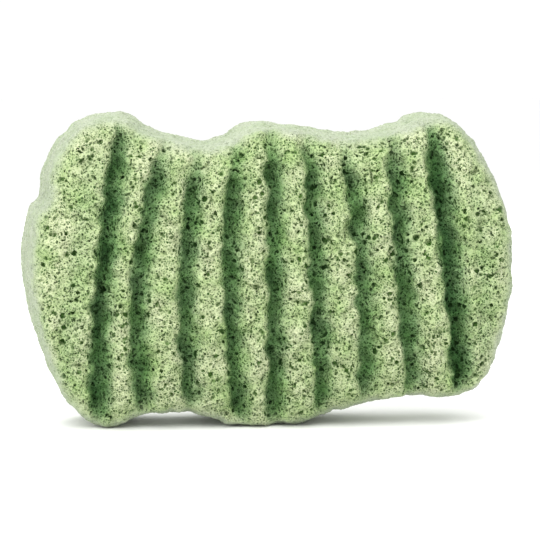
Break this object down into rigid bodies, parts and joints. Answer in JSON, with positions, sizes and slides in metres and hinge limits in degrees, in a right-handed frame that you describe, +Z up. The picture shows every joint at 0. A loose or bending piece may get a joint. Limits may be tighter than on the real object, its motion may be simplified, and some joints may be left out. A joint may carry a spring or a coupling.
{
  "type": "konjac sponge",
  "caption": "Soft green konjac fibre sponge, a hand-sized porous block with lobed long edges, rounded ends, upright ribs and grooves across its front and a flat back, for washing skin.",
  "frame": {"origin": "on the surface that the sponge stands on, under the middle of its box", "axes": "+X along the length, +Y from the ribbed front to the flat back, +Z up from the standing lobes to the upper edge"},
  "size_m": [0.1392, 0.0353, 0.0855],
  "materials": {
    "konjac_foam": "matte"
  },
  "bodies": {
    "root": {"sponge_body": "konjac_foam"}
  },
  "joints": []
}
